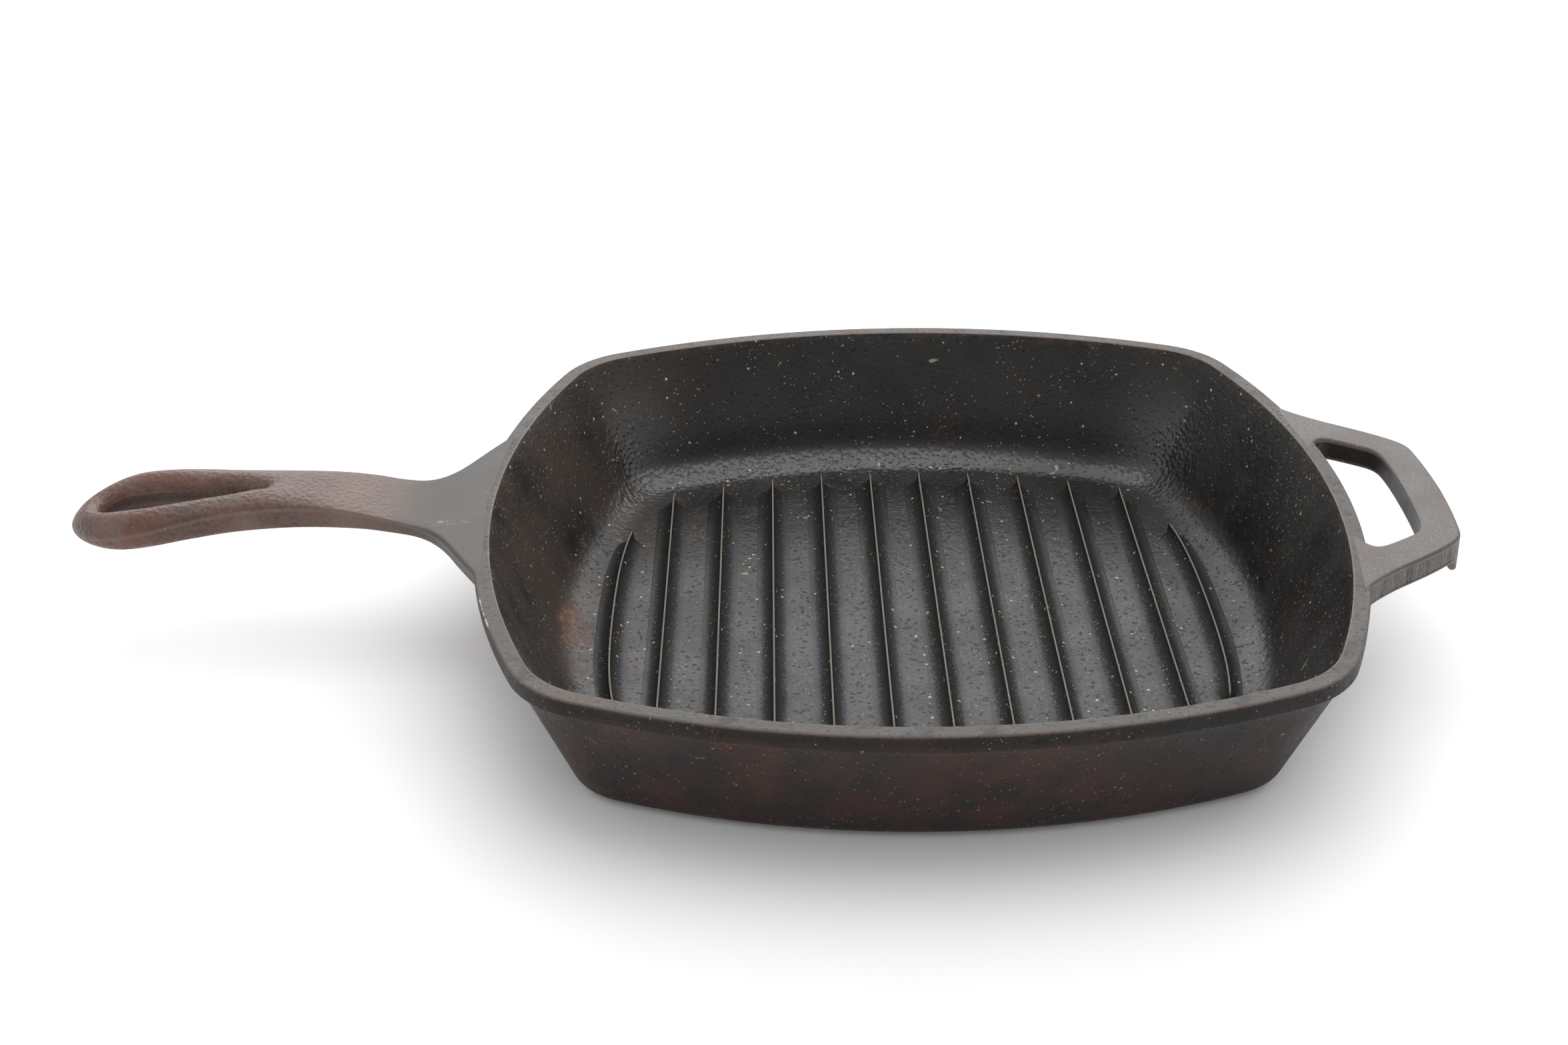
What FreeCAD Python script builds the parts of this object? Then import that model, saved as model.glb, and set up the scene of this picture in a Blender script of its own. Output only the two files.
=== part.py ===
# Square cast-iron grill pan: long handle along -X, loop helper handle along +X.
# The origin is the centre of the underside of the foot, +Z up, millimetres.
# The casting is divided where its section changes, and the divisions meet face to face.
import FreeCAD, Part
import math
import os
import Sketcher
from FreeCAD import Placement, Rotation, Vector

SIZES = {
    # plan of the pan at the rim: four slack side arcs joined by four tighter corner arcs
    "rim_half": 133.35,
    "rim_side_radius": 256.0,
    "rim_corner_radius": 31.5,
    "pan_height": 45.5,
    # outer band round the rim and the chamfer that leads in under it
    "band_height": 5.0,
    "cove_height": 2.0,
    "cove_depth": 3.0,
    # outer wall: it bends up from the underside, then leans out straight to the cove
    "under_inset": 23.0,
    "under_bend_radius": 5.0,
    "under_bend": 66.6,
    # foot under the floor
    "foot_height": 1.0,
    "foot_inset": 23.5,
    # cavity: it bends up from the floor's edge, then leans out straight to the rim
    "rim_wall": 4.8,
    "floor_top": 3.5,
    "floor_edge_inset": 34.5,
    "floor_bend_radius": 14.0,
    "floor_bend": 63.4,
    # plan corners tighten by this much for each millimetre of inset
    "corner_tightening": 0.65,
    # the wall is divided into sides and corners this far either way from each side's middle
    "side_turn": 36.0,
    "wedge_reach": 200.0,
    # grill ribs
    "rib_pitch": 17.15,
    "rib_rise": 4.0,
    "rib_crest": 1.2,
    "rib_end_inset": 39.85,
    "rib_prow": 7.0,
    "bow_middle": 93.4,
    "bow_radius": 500.0,
    "bow_turn": 11.6,
    # fan-shaped web between the rim and the long handle
    "web_root": 47.5,
    "web_knee_reach": 142.0,
    "web_knee": 25.5,
    "web_flare": 21.0,
    "web_thick": 5.0,
    # hanging hole of the long handle
    "eye_reach": 242.5,
    "eye_radius": 7.5,
    "point_reach": 201.0,
    "point_radius": 1.5,
    # helper handle
    "helper_thick": 7.5,
    "helper_root": 59.0,
    "helper_root_flare": 12.0,
    "helper_knee_reach": 134.5,
    "helper_knee": 51.5,
    "helper_corner_reach": 160.5,
    "helper_corner": 30.5,
    "helper_nose_radius": 300.0,
    "window_near": 136.0,
    "window_near_half": 37.0,
    "window_far": 150.8,
    "window_far_half": 27.5,
    "window_fillet": 3.0,
    "lip_inner": 154.5,
    "lip_outer": 160.3,
    "lip_drop": 4.6,
    "lip_half": 29.0,
}

# Sections of the long handle from neck to tip: distance from the pan centre, half-width,
# height of the middle over the rim, thickness, corner radius.
HANDLE_SECTIONS = {
    "neck": (160.0, 13.8, -1.1, 5.6, 2.0),
    "rise": (178.0, 12.6, 2.1, 8.8, 3.8),
    "crown": (200.0, 12.8, 2.8, 11.2, 5.0),
    "palm": (222.0, 16.6, 1.3, 11.6, 5.2),
    "swell": (240.0, 19.4, -1.2, 12.8, 5.8),
    "round": (253.0, 14.4, -3.0, 10.0, 4.6),
    "tip": (260.0, 7.5, -4.2, 5.4, 2.4),
}
SECTION_WORDS = ("reach", "half", "lift", "thick", "corner")

BEND_STEPS = 5
RIB_COUNT = 12
SIDES = ("right", "back", "left", "front")
MIDDLE_RIB = (RIB_COUNT + 1) / 2

doc = FreeCAD.newDocument("grill_pan")
sheet = doc.addObject("Spreadsheet::Sheet", "sizes")
workings = doc.addObject("Spreadsheet::Sheet", "workings")


def fill_sheet():
    """Put every driving dimension in the sheet, each with its alias."""
    cells = dict(SIZES)
    for section, values in HANDLE_SECTIONS.items():
        for word, value in zip(SECTION_WORDS, values):
            cells[f"{section}_{word}"] = value
    for row, (alias, value) in enumerate(cells.items(), start=1):
        sheet.set(f"A{row}", alias)
        sheet.set(f"B{row}", str(value))
        sheet.setAlias(f"B{row}", alias)
    doc.recompute()


def number(expression):
    """What an expression of the sheet's cells works out to, found in a cell of its own sheet."""
    workings.set("A1", "=" + expression)
    workings.recompute()
    return float(workings.get("A1"))


def new_body(name):
    body = doc.addObject("PartDesign::Body", name)
    body.Label = name
    return body


def new_sketch(body, name, role, offset=None):
    """A sketch on one of the body's origin planes, lifted off it by an expression."""
    plane = [item for item in body.Origin.OriginFeatures if item.Role == role][0]
    sketch = body.newObject("Sketcher::SketchObject", name)
    sketch.AttachmentSupport = [(plane, "")]
    sketch.MapMode = "FlatFace"
    if offset is not None:
        sketch.setExpression(".AttachmentOffset.Base.z", offset)
    return sketch


def hold(sketch, expression, kind, *where):
    """Add a sketch dimension and bind it to the sheet."""
    index = sketch.addConstraint(Sketcher.Constraint(kind, *where, number(expression)))
    sketch.setExpression(f"Constraints[{index}]", expression)


def pin(sketch, geometry, point, across, up):
    """Hold one end of a curve at a distance across and up from the sketch origin."""
    for kind, axis, expression in (("DistanceX", -2, across), ("DistanceY", -1, up)):
        if expression == "0":
            sketch.addConstraint(Sketcher.Constraint("PointOnObject", geometry, point, axis))
        else:
            hold(sketch, expression, kind, -1, 1, geometry, point)


def arc_between(start, end, radius, centre_side):
    """The short arc from start to end; its centre is 1 left or -1 right of the way along."""
    chord = end - start
    rise = math.sqrt(radius**2 - (chord.Length / 2) ** 2)
    left = Vector(-chord.y, chord.x, 0) / chord.Length
    centre = (start + end) / 2 + left * rise * centre_side
    first, last = (start, end) if centre_side > 0 else (end, start)
    angles = [math.atan2(p.y - centre.y, p.x - centre.x) for p in (first, last)]
    return Part.ArcOfCircle(Part.Circle(centre, Vector(0, 0, 1), radius), *angles)


def trace(sketch, corners):
    """Close an outline through corners (across, up, arc). The arc is None for a straight run to
    the next corner, or its radius and the side its centre lies on, 1 left or -1 right."""
    points = [Vector(number(across), number(up), 0) for across, up, _ in corners]
    ends = []
    for index, (across, up, arc) in enumerate(corners):
        start = points[index]
        end = points[(index + 1) % len(points)]
        if arc is None:
            curve = sketch.addGeometry(Part.LineSegment(start, end))
            ends.append((curve, 1, 2))
        else:
            radius, side = arc
            curve = sketch.addGeometry(arc_between(start, end, number(radius), side))
            ends.append((curve, 1, 2) if side > 0 else (curve, 2, 1))
            hold(sketch, radius, "Radius", curve)
    for index, (across, up, _) in enumerate(corners):
        curve, first, _ = ends[index]
        before, _, last = ends[index - 1]
        sketch.addConstraint(Sketcher.Constraint("Coincident", before, last, curve, first))
        pin(sketch, curve, first, across, up)


def rounded_square(sketch, half, side, corner):
    """Four side arcs and four corner arcs, all tangent, centred on the origin."""
    half_size, side_radius, corner_radius = number(half), number(side), number(corner)
    back = side_radius - half_size
    reach = side_radius - corner_radius
    offset = (math.sqrt(2 * reach**2 - back**2) - back) / 2
    turn = math.atan2(offset, offset + back)
    flat = Vector(0, 0, 1)
    sides, corners = [], []
    for quarter in range(4):
        heading = math.pi / 2 * quarter
        direction = Vector(math.cos(heading), math.sin(heading), 0)
        circle = Part.Circle(direction * -back, flat, side_radius)
        sides.append(sketch.addGeometry(Part.ArcOfCircle(circle, heading - turn, heading + turn)))
        diagonal = heading + math.pi / 4
        spread = math.pi / 4 - turn
        middle = Vector(math.cos(diagonal), math.sin(diagonal), 0) * offset * math.sqrt(2)
        circle = Part.Circle(middle, flat, corner_radius)
        corners.append(sketch.addGeometry(Part.ArcOfCircle(circle, diagonal - spread, diagonal + spread)))
    for quarter, (side_arc, corner_arc) in enumerate(zip(sides, corners)):
        after = sides[(quarter + 1) % 4]
        sketch.addConstraint(Sketcher.Constraint("Tangent", side_arc, 2, corner_arc, 1))
        sketch.addConstraint(Sketcher.Constraint("Tangent", corner_arc, 2, after, 1))
        hold(sketch, corner, "Radius", corner_arc)
        hold(sketch, side, "Radius", side_arc)
        sign = "-" if quarter in (0, 1) else ""
        distance = f"{sign}({side} - ({half}))"
        if quarter % 2 == 0:
            pin(sketch, side_arc, 3, distance, "0")
        else:
            pin(sketch, side_arc, 3, "0", distance)


def inset_square(body, name, height, inset):
    """The rim outline moved in by an inset, at a height, with its corners tightened to suit."""
    sketch = new_sketch(body, name, "XY_Plane", height)
    rounded_square(sketch, f"sizes.rim_half - ({inset})", f"sizes.rim_side_radius - ({inset})",
                   f"sizes.rim_corner_radius - sizes.corner_tightening * ({inset})")
    return sketch


def pad(body, sketch, length, symmetric=False):
    feature = body.newObject("PartDesign::Pad", sketch.Name + "_pad")
    feature.Profile = sketch
    feature.SideType = "Symmetric" if symmetric else "One side"
    feature.setExpression("Length", length)
    doc.recompute()
    return feature


def pocket_through(body, sketch):
    """Cut a sketch through the whole body, both ways from its plane."""
    before = body.Shape.Volume
    feature = body.newObject("PartDesign::Pocket", sketch.Name + "_cut")
    feature.Profile = sketch
    feature.SideType = "Symmetric"
    feature.Type = "ThroughAll"
    doc.recompute()
    if not body.Shape.Volume < before:
        raise RuntimeError(f"{sketch.Name} cut nothing")
    return feature


def loft(body, name, sections, ruled=True):
    feature = body.newObject("PartDesign::AdditiveLoft", name)
    feature.Profile = sections[0]
    feature.Sections = sections[1:]
    feature.Ruled = ruled
    doc.recompute()
    return feature


def stack(body, name, levels):
    """A solid with straight sides from each (height, inset) level to the next."""
    sections = []
    for order, (height, inset) in enumerate(levels):
        sections.append(inset_square(body, f"{name}_level_{order}", height, inset))
    return loft(body, name, sections)


def bend_levels(bottom, edge_inset, radius, bend):
    """Levels up the hollow bend between a flat bottom and a leaning side, in equal turns."""
    levels = []
    for step in range(BEND_STEPS + 1):
        turn = math.radians(number(bend)) * step / BEND_STEPS
        levels.append((f"{bottom} + {radius} * {1 - math.cos(turn):.6f}",
                       f"{edge_inset} - {radius} * {math.sin(turn):.6f}"))
    return levels


def fillet(body, base, radius, wanted):
    """Round the edges of a feature that a test picks out."""
    feature = body.newObject("PartDesign::Fillet", base.Name + "_round")
    names = [f"Edge{index}" for index, edge in enumerate(base.Shape.Edges, start=1) if wanted(edge)]
    feature.Base = (base, names)
    feature.setExpression("Radius", radius)
    doc.recompute()
    return feature


def combined(kind, name, base, tool):
    feature = doc.addObject(kind, name)
    feature.Label = name
    feature.Base = base
    feature.Tool = tool
    doc.recompute()
    return feature


# ---- pan: outer form, cavity, and the pieces that they are divided into ----

BAND_FOOT = "sizes.pan_height - sizes.band_height"
COVE_FOOT = "sizes.pan_height - sizes.band_height - sizes.cove_height"


def make_outer_form():
    """Everything inside the outer skin above the foot, as if there were no cavity."""
    body = new_body("outer_form")
    levels = bend_levels("sizes.foot_height", "sizes.under_inset", "sizes.under_bend_radius",
                         "sizes.under_bend")
    levels += [(COVE_FOOT, "sizes.cove_depth"), (BAND_FOOT, "0"), ("sizes.pan_height", "0")]
    stack(body, "outer_side", levels)
    return body


def make_cavity():
    """The space that the pan holds, down to the floor."""
    body = new_body("cavity")
    levels = bend_levels("sizes.floor_top", "sizes.floor_edge_inset", "sizes.floor_bend_radius",
                         "sizes.floor_bend")
    levels.append(("sizes.pan_height", "sizes.rim_wall"))
    stack(body, "cavity_side", levels)
    return body


def make_prism(name, bottom, inset, length):
    """An upright prism on an inset rim outline."""
    body = new_body(name)
    pad(body, inset_square(body, name + "_outline", bottom, inset), length)
    return body


def make_wedge(name, start, end):
    """An upright prism between two directions from the middle, in degrees."""
    body = new_body(name)
    sketch = new_sketch(body, name + "_plan", "XY_Plane")
    corners = [("0", "0", None)]
    for heading in (start, end):
        turn = math.radians(heading)
        corners.append((f"sizes.wedge_reach * {math.cos(turn):.6f}",
                        f"sizes.wedge_reach * {math.sin(turn):.6f}", None))
    trace(sketch, corners)
    pad(body, sketch, "sizes.pan_height")
    return body


def divide_wall(wall):
    """The wall as four sides and the four corners between them."""
    turn = number("sizes.side_turn")
    pieces = []
    for order, side in enumerate(SIDES):
        heading = 90 * order
        after = SIDES[(order + 1) % len(SIDES)]
        spans = {f"wall_{side}": (heading - turn, heading + turn),
                 f"wall_corner_{side}_{after}": (heading + turn, heading + 90 - turn)}
        for name, (start, end) in spans.items():
            wedge = make_wedge(name + "_zone", start, end)
            pieces.append(combined("Part::Common", name, wall, wedge))
    return pieces


def make_pan():
    """Foot, floor, the wall's sides and corners, and rim band."""
    foot = make_prism("base_foot", "0", "sizes.foot_inset", "sizes.foot_height")
    shell = combined("Part::Cut", "shell", make_outer_form(), make_cavity())
    upper = make_prism("upper_zone", COVE_FOOT, "0", "sizes.band_height + sizes.cove_height")
    middle = make_prism("floor_zone", "sizes.foot_height", "sizes.floor_edge_inset",
                        "sizes.floor_top - sizes.foot_height")
    lower = combined("Part::Cut", "lower_shell", shell, upper)
    rim = combined("Part::Common", "rim_band", shell, upper)
    floor = combined("Part::Common", "pan_floor", lower, middle)
    wall = combined("Part::Cut", "side_wall", lower, middle)
    return [foot, floor, rim] + divide_wall(wall)


# ---- grill ribs: narrow crest, hollow flanks as deep as the rib is high ----

RIB_ROOT = "sizes.rib_crest / 2 + sizes.rib_rise"
RIB_TOP = "sizes.floor_top + sizes.rib_rise"


def trace_rib_section(sketch, middle=""):
    """The rib's section, standing on the floor with its middle at a distance across."""
    flank = ("sizes.rib_rise", -1)
    trace(sketch, [
        (f"{middle} - ({RIB_ROOT})", "sizes.floor_top", None),
        (f"{middle} + ({RIB_ROOT})", "sizes.floor_top", flank),
        (f"{middle} + sizes.rib_crest / 2", RIB_TOP, None),
        (f"{middle} - sizes.rib_crest / 2", RIB_TOP, flank),
    ])


def make_straight_rib(index):
    """A straight rib, cut to a pointed prow at both ends where it nears the wall."""
    steps = index - MIDDLE_RIB
    body = new_body(f"grill_rib_{index:02d}")
    section = new_sketch(body, body.Name + "_section", "XZ_Plane")
    trace_rib_section(section)
    end_radius = "(sizes.rim_side_radius - sizes.rib_end_inset)"
    tip = (f"(sizes.rim_half - sizes.rim_side_radius"
           f" + sqrt({end_radius}^2 - (sizes.rib_pitch * {steps})^2))")
    pad(body, section, f"2 * {tip}", symmetric=True)
    prows = new_sketch(body, body.Name + "_prows", "XY_Plane")
    side = f"({RIB_ROOT} + 1)"
    for across in ("", "-"):
        for along in ("", "-"):
            trace(prows, [
                (f"{across}(sizes.rib_crest / 2)", f"{along}({tip} + 1)", None),
                (f"{across}{side}", f"{along}({tip} + 1)", None),
                (f"{across}{side}", f"{along}({tip} - sizes.rib_prow)", None),
            ])
    pocket_through(body, prows)
    body.setExpression(".Placement.Base.x", f"sizes.rib_pitch * {steps}")
    return body


def make_bowed_rib(index, turn):
    """An outermost rib, bowed like the wall beside it: the section turned about a far axis."""
    body = new_body(f"grill_rib_{index:02d}")
    section = new_sketch(body, body.Name + "_section", "XZ_Plane")
    section.setExpression(".AttachmentOffset.Base.x", "sizes.bow_middle - sizes.bow_radius")
    trace_rib_section(section, "sizes.bow_radius")
    bow = body.newObject("PartDesign::Revolution", body.Name + "_bow")
    bow.Profile = section
    bow.ReferenceAxis = (section, ["V_Axis"])
    bow.Midplane = True
    bow.setExpression("Angle", "sizes.bow_turn")
    doc.recompute()
    body.Placement = Placement(Vector(), Rotation(Vector(0, 0, 1), turn))
    return body


def make_ribs():
    ribs = [make_bowed_rib(1, 180)]
    for index in range(2, RIB_COUNT):
        ribs.append(make_straight_rib(index))
    ribs.append(make_bowed_rib(RIB_COUNT, 0))
    return ribs


# ---- long handle ----

def rim_face(half_chord):
    """How far out the rim's outer face stands on a side, at a distance along that side."""
    return (f"(sqrt(sizes.rim_side_radius^2 - {half_chord}^2)"
            " - sizes.rim_side_radius + sizes.rim_half)")


def make_web():
    """The fan that spreads the handle's load along the rim, flush with the rim's top."""
    body = new_body("handle_web")
    sketch = new_sketch(body, "web_plan", "XY_Plane", "sizes.pan_height - sizes.web_thick")
    root_reach = rim_face("sizes.web_root")
    trace(sketch, [
        (f"-{root_reach}", "-sizes.web_root", ("sizes.rim_side_radius", -1)),
        (f"-{root_reach}", "sizes.web_root", None),
        ("-sizes.web_knee_reach", "sizes.web_knee", ("sizes.web_flare", -1)),
        ("-sizes.neck_reach", "sizes.neck_half", None),
        ("-sizes.neck_reach", "-sizes.neck_half", ("sizes.web_flare", -1)),
        ("-sizes.web_knee_reach", "-sizes.web_knee", None),
    ])
    pad(body, sketch, "sizes.web_thick")
    return body


def handle_section(body, name):
    """One rounded-rectangle section across the handle."""
    sketch = new_sketch(body, f"section_{name}", "YZ_Plane", f"-sizes.{name}_reach")
    half, corner = f"sizes.{name}_half", f"sizes.{name}_corner"
    middle = f"sizes.pan_height + sizes.{name}_lift"
    low = f"({middle} - sizes.{name}_thick / 2)"
    high = f"({middle} + sizes.{name}_thick / 2)"
    bend = (corner, 1)
    trace(sketch, [
        (f"-({half} - {corner})", low, None),
        (f"{half} - {corner}", low, bend),
        (half, f"{low} + {corner}", None),
        (half, f"{high} - {corner}", bend),
        (f"{half} - {corner}", high, None),
        (f"-({half} - {corner})", high, bend),
        (f"-{half}", f"{high} - {corner}", None),
        (f"-{half}", f"{low} + {corner}", bend),
    ])
    return sketch


def make_grip():
    """The arched grip, lofted from neck to tip, with its teardrop hanging hole."""
    body = new_body("handle_grip")
    sections = [handle_section(body, name) for name in HANDLE_SECTIONS]
    loft(body, "grip_loft", sections, ruled=False)
    hole = new_sketch(body, "hanging_hole", "XY_Plane")
    eye_x, eye_r = -number("sizes.eye_reach"), number("sizes.eye_radius")
    point_x, point_r = -number("sizes.point_reach"), number("sizes.point_radius")
    lean = math.asin((eye_r - point_r) / (point_x - eye_x))
    flat = Vector(0, 0, 1)
    eye = Part.Circle(Vector(eye_x, 0, 0), flat, eye_r)
    point = Part.Circle(Vector(point_x, 0, 0), flat, point_r)
    quarter = math.pi / 2
    eye_arc = hole.addGeometry(Part.ArcOfCircle(eye, quarter - lean, 3 * quarter + lean))
    point_arc = hole.addGeometry(Part.ArcOfCircle(point, lean - quarter, quarter - lean))
    upright = Vector(math.sin(lean), math.cos(lean), 0)
    for mirror, eye_end, point_end in ((1, 1, 2), (-1, 2, 1)):
        out = Vector(upright.x, mirror * upright.y, 0)
        side = hole.addGeometry(Part.LineSegment(eye.Center + out * eye_r, point.Center + out * point_r))
        hole.addConstraint(Sketcher.Constraint("Tangent", eye_arc, eye_end, side, 1))
        hole.addConstraint(Sketcher.Constraint("Tangent", point_arc, point_end, side, 2))
    for arc, word in ((eye_arc, "eye"), (point_arc, "point")):
        hold(hole, f"sizes.{word}_radius", "Radius", arc)
        pin(hole, arc, 3, f"-sizes.{word}_reach", "0")
    pocket_through(body, hole)
    return body


# ---- helper handle ----

def make_helper():
    """The flat loop: legs that lean together from the rim to a wide outer bar, and its window."""
    body = new_body("helper_handle")
    plan = new_sketch(body, "helper_plan", "XY_Plane", "sizes.pan_height - sizes.helper_thick")
    root_reach = rim_face("sizes.helper_root")
    trace(plan, [
        (root_reach, "-sizes.helper_root", ("sizes.helper_root_flare", -1)),
        ("sizes.helper_knee_reach", "-sizes.helper_knee", None),
        ("sizes.helper_corner_reach", "-sizes.helper_corner", ("sizes.helper_nose_radius", 1)),
        ("sizes.helper_corner_reach", "sizes.helper_corner", None),
        ("sizes.helper_knee_reach", "sizes.helper_knee", ("sizes.helper_root_flare", -1)),
        (root_reach, "sizes.helper_root", ("sizes.rim_side_radius", -1)),
    ])
    pad(body, plan, "sizes.helper_thick")
    window = new_sketch(body, "helper_window", "XY_Plane")
    trace(window, [
        ("sizes.window_near", "-sizes.window_near_half", None),
        ("sizes.window_far", "-sizes.window_far_half", None),
        ("sizes.window_far", "sizes.window_far_half", None),
        ("sizes.window_near", "sizes.window_near_half", None),
    ])
    cut = pocket_through(body, window)

    def window_corner(edge):
        box = edge.BoundBox
        upright = box.ZLength > number("sizes.helper_thick") / 2
        inside = number("sizes.window_near") - 1 < box.XMin < number("sizes.window_far") + 1
        return upright and inside and abs(box.YMin) < number("sizes.window_near_half") + 1

    fillet(body, cut, "sizes.window_fillet", window_corner)
    return body


def make_lip():
    """The turned-down lip under the outer bar, for the fingers to bear on."""
    body = new_body("helper_lip")
    sketch = new_sketch(body, "lip_section", "XZ_Plane")
    top = "sizes.pan_height - sizes.helper_thick"
    trace(sketch, [
        ("sizes.lip_inner", top, None),
        ("sizes.lip_inner + sizes.lip_drop / 5", f"{top} - sizes.lip_drop", None),
        ("sizes.lip_outer - sizes.lip_drop / 3", f"{top} - sizes.lip_drop", None),
        ("sizes.lip_outer", top, None),
    ])
    pad(body, sketch, "2 * sizes.lip_half", symmetric=True)
    return body


# ---- build, prove and write ----

def check(item):
    """Stop on any failed feature or bad solid."""
    for feature in doc.Objects:
        if {"Invalid", "Error"} & set(feature.State):
            raise RuntimeError(f"{feature.Name} failed: {feature.State}")
    if not item.Shape.isValid() or len(item.Shape.Solids) != 1:
        raise RuntimeError(f"{item.Label}: {len(item.Shape.Solids)} solids, valid {item.Shape.isValid()}")


def main():
    os.makedirs("parts", exist_ok=True)
    fill_sheet()
    nodes = make_pan() + make_ribs() + [make_web(), make_grip(), make_helper(), make_lip()]
    doc.recompute()
    for node in nodes:
        check(node)
        node.Shape.exportStep(f"parts/{node.Label}.step")


main()
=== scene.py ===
import bmesh
import bpy
import numpy as np
from math import radians
from mathutils import Matrix, Vector


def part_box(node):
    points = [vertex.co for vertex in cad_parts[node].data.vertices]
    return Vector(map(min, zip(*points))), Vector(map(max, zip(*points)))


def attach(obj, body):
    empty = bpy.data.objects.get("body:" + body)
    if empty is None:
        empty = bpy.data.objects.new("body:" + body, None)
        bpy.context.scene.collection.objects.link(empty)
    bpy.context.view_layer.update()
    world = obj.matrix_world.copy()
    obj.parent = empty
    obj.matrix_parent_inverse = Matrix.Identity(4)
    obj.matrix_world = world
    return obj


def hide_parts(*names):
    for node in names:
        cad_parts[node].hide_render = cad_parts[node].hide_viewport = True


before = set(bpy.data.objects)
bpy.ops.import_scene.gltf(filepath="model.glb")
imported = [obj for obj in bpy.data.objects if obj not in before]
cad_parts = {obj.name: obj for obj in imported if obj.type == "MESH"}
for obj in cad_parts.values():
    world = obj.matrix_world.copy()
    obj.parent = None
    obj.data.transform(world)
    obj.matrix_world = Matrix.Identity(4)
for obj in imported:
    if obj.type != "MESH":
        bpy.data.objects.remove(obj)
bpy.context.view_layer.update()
mm = 0.001

# ---- Pan: floor, side walls, rim band and foot, cast in one with each other ----
# Sand-cast grey iron, seasoned black inside and patinated brown outside. One profile, from the middle of
# the floor over the rim to the middle of the underside, is carried round the square plan.

RIM_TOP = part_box("rim_band")[1].z
RIM_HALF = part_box("rim_band")[1].x
FLOOR_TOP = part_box("pan_floor")[1].z
FOOT_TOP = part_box("base_foot")[1].z
SIDE_RADIUS = 256 * mm
CORNER_RADIUS = 31.5 * mm
CORNER_TIGHTENING = 0.65
RIM_WALL = 4.8 * mm
BAND_HEIGHT = 5.0 * mm
COVE = (3.0 * mm, 2.2 * mm)
OUTER_LEAN = 0.432
INNER_LEAN = 0.5013


def feed(tree, node, inputs):
    """Set a node's inputs: a socket is linked, anything else is the input's value."""
    for word, value in inputs.items():
        if isinstance(value, bpy.types.NodeSocket):
            tree.links.new(value, node.inputs[word])
        else:
            node.inputs[word].default_value = value


def add(tree, kind, inputs=None, **settings):
    """A shader node with its settings and inputs."""
    node = tree.nodes.new("ShaderNode" + kind)
    for word, value in settings.items():
        setattr(node, word, value)
    feed(tree, node, inputs or {})
    return node


def calc(tree, operation, first, second=0.0, clamp=False):
    """One step of arithmetic on masks."""
    return add(tree, "Math", {0: first, 1: second}, operation=operation, use_clamp=clamp).outputs[0]


def times(tree, first, second):
    """The product of two masks, or of a mask and a number."""
    return calc(tree, "MULTIPLY", first, second)


def plus(tree, first, second):
    """The sum of two masks, or of a mask and a number."""
    return calc(tree, "ADD", first, second)


def step(tree, value, low, high, start=0.0, end=1.0):
    """A smooth change from start to end while the value goes from low to high."""
    limits = {"Value": value, "From Min": low, "From Max": high, "To Min": start, "To Max": end}
    return add(tree, "MapRange", limits, interpolation_type="SMOOTHSTEP").outputs["Result"]


def blend(tree, share, first, second):
    """A colour that goes from the first to the second as the share grows."""
    return add(tree, "Mix", {0: share, 6: first, 7: second}, data_type="RGBA").outputs[2]


def coat(tree, under, tint, mask, share=1.0):
    """A colour with a tint laid over it where a mask is, at a share of the mask's strength."""
    return blend(tree, times(tree, mask, share), under, tint)


def noise(tree, place, scale, detail=3.0, roughness=0.55):
    """Cloudy noise, with its scale in clouds to the metre."""
    look = {"Vector": place, "Scale": scale, "Detail": detail, "Roughness": roughness}
    return add(tree, "TexNoise", look).outputs[0]


def object_place(tree):
    """The place on the object, in metres."""
    return add(tree, "TexCoord").outputs["Object"]


def point_mask(tree, word):
    """A mask that the mesh keeps on its points."""
    return add(tree, "Attribute", attribute_name=word).outputs["Fac"]


MASK = "NodeSocketFloat"
TINT = "NodeSocketColor"


def new_group(name, inputs, outputs):
    """An empty node group with its sockets: inputs are numbers, or colours where four are given."""
    tree = bpy.data.node_groups.new(name, "ShaderNodeTree")
    for word, value in inputs.items():
        kind = TINT if isinstance(value, tuple) else MASK
        tree.interface.new_socket(name=word, in_out="INPUT", socket_type=kind).default_value = value
    for word, kind in outputs.items():
        tree.interface.new_socket(name=word, in_out="OUTPUT", socket_type=kind)
    return tree, tree.nodes.new("NodeGroupInput").outputs, tree.nodes.new("NodeGroupOutput")


def use_group(tree, name, **inputs):
    """The outputs of a node group placed in a material."""
    node = tree.nodes.new("ShaderNodeGroup")
    node.node_tree = bpy.data.node_groups[name]
    feed(tree, node, inputs)
    return node.outputs


def cast_skin():
    """The skin that sand leaves on iron: fine grains, the shallow peel between them, slow waves, and
    cloudy mottling of the finish."""
    outputs = {"Fine": MASK, "Peel": MASK, "Waves": MASK, "Mottle": MASK}
    tree, given, kept = new_group("cast_skin", {"Grain": 0.0012}, outputs)
    place = object_place(tree)
    per_metre = calc(tree, "DIVIDE", 1.0, given["Grain"])
    grains = add(tree, "VectorMath", {0: place, "Scale": per_metre}, operation="SCALE").outputs[0]
    peel = add(tree, "TexVoronoi", {"Vector": grains, "Scale": 0.5, "Smoothness": 0.8}, feature="SMOOTH_F1")
    feed(tree, kept, {
        "Fine": noise(tree, grains, 1.0, 3.0, 0.6),
        "Peel": step(tree, peel.outputs["Distance"], 0.15, 0.75),
        "Waves": noise(tree, place, 105.0, 2.0),
        "Mottle": step(tree, noise(tree, place, 36.0, 6.0, 0.62), 0.36, 0.64)})


DUST_PALE = (0.42, 0.385, 0.335, 1)
DUST_TAN = (0.26, 0.16, 0.08, 1)


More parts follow.
